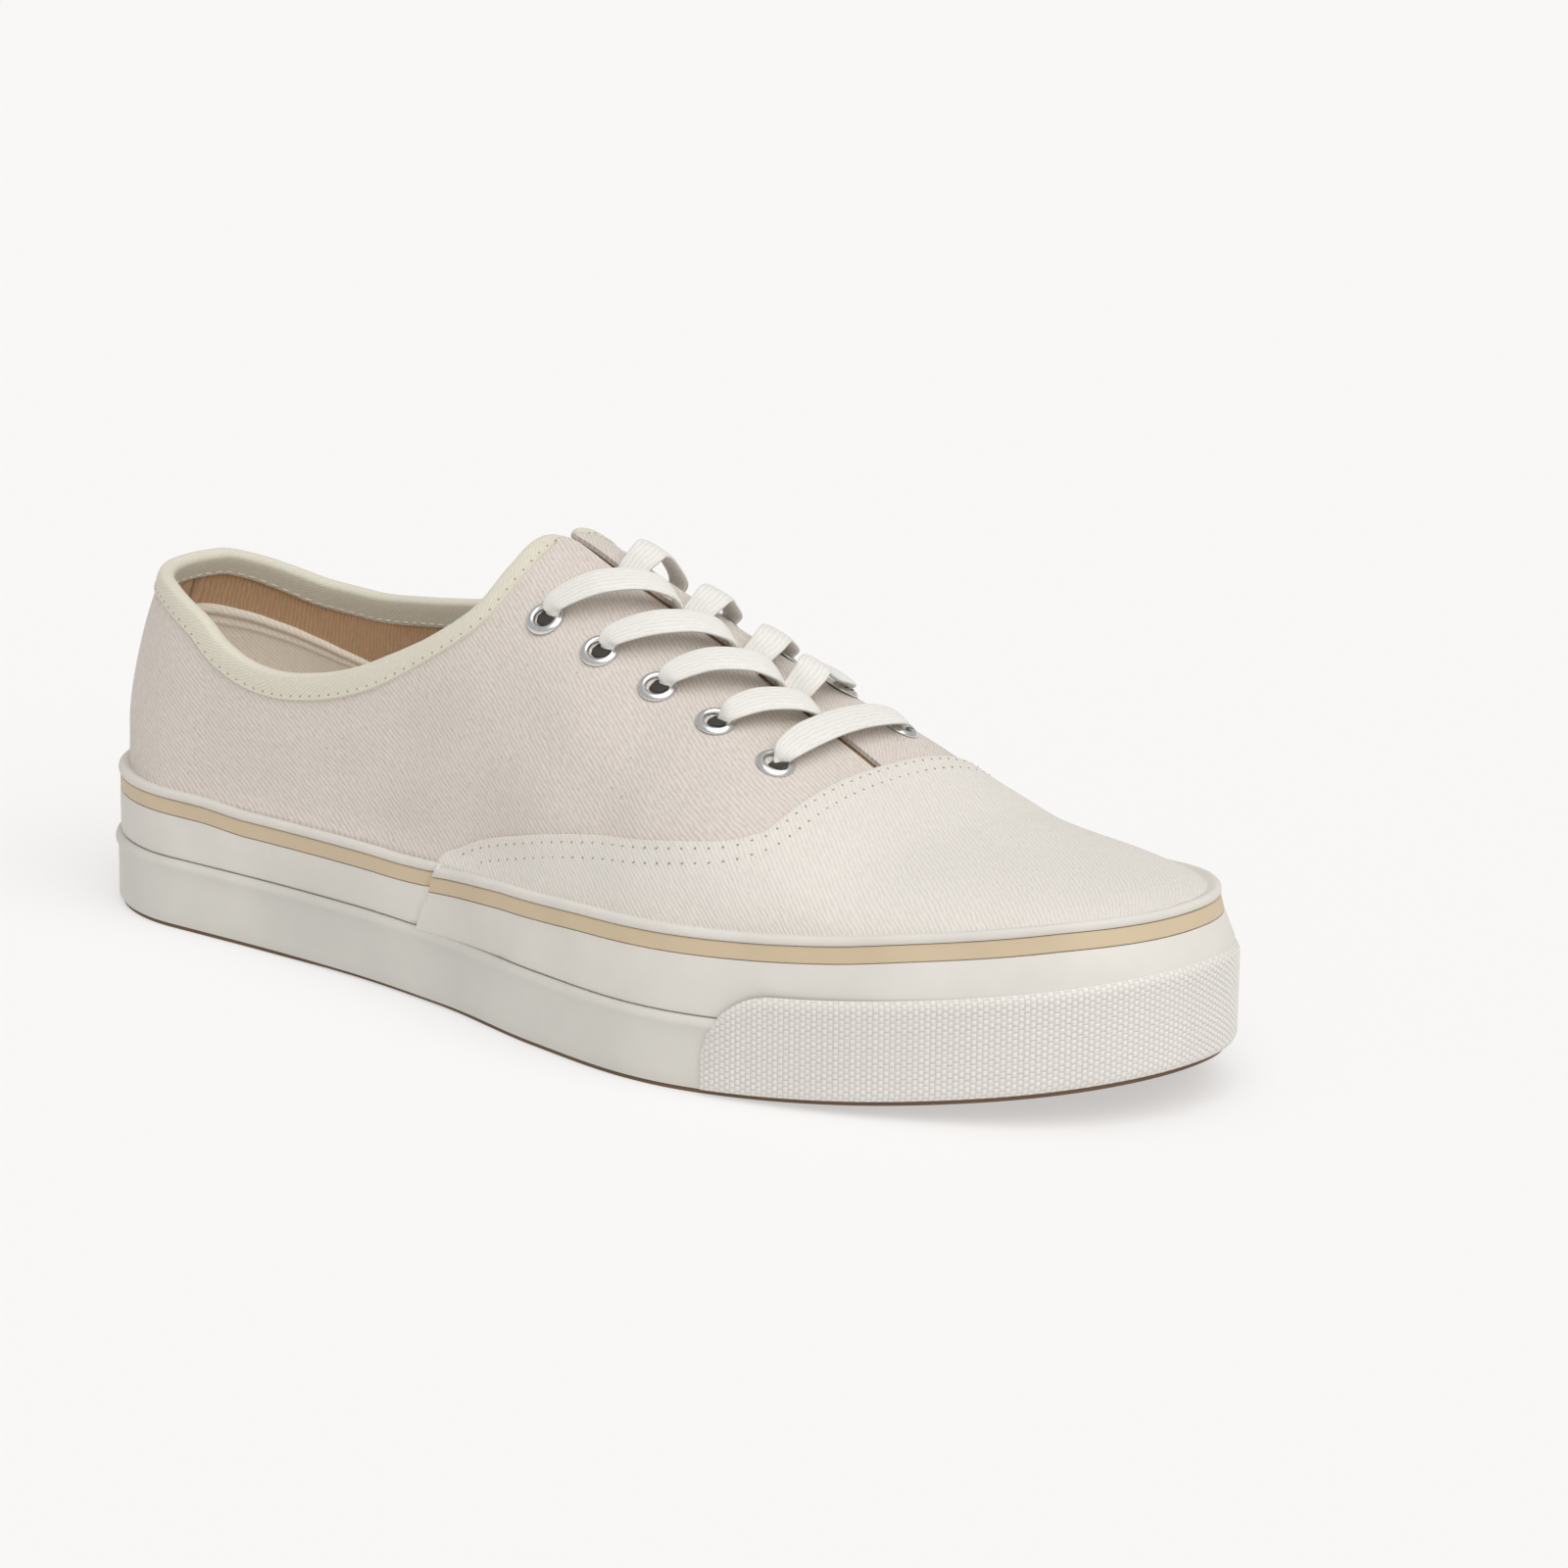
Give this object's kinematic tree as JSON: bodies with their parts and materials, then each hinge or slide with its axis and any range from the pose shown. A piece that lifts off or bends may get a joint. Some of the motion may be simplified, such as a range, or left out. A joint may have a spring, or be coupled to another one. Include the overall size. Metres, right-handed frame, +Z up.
{
  "type": "canvas sneaker",
  "caption": "Low lace-up canvas sneaker for the right foot, with a hollow upper, open collar, tongue and insole on a rubber cupped sole with a toe bumper.",
  "frame": {"origin": "middle of the bounding box, on the floor", "axes": "+X from heel to toe, +Y to the wearer's left, the inner side of this right shoe, +Z up"},
  "size_m": [0.2976, 0.1066, 0.0988],
  "materials": {
    "gum_rubber": "matt gum rubber",
    "core_foam": "matt sponge rubber",
    "white_rubber": "satin white rubber",
    "cream_rubber": "satin cream rubber",
    "tan_stripe": "satin tan rubber",
    "textured_rubber": "waffle-textured white rubber",
    "insole_cloth": "woven cloth",
    "canvas": "off-white herringbone canvas",
    "tongue_canvas": "plain woven canvas",
    "binding_tape": "cream cotton twill tape",
    "eyelet_metal": "polished nickel look",
    "lace_cotton": "flat white woven cotton"
  },
  "bodies": {
    "root": {"outsole": "gum_rubber", "midsole": "core_foam", "lower_wall": "white_rubber", "foxing_tape": "cream_rubber", "stripe": "tan_stripe", "toe_bumper": "textured_rubber", "insole": "insole_cloth", "upper": "canvas", "tongue": "tongue_canvas", "collar_binding": "binding_tape", "eyelet_outer_1": "eyelet_metal", "eyelet_inner_1": "eyelet_metal", "eyelet_outer_2": "eyelet_metal", "eyelet_inner_2": "eyelet_metal", "eyelet_outer_3": "eyelet_metal", "eyelet_inner_3": "eyelet_metal", "eyelet_outer_4": "eyelet_metal", "eyelet_inner_4": "eyelet_metal", "eyelet_outer_5": "eyelet_metal", "eyelet_inner_5": "eyelet_metal", "lace_crossing_1": "lace_cotton", "lace_crossing_2": "lace_cotton", "lace_crossing_3": "lace_cotton", "lace_crossing_4": "lace_cotton", "lace_bar": "lace_cotton"}
  },
  "joints": []
}
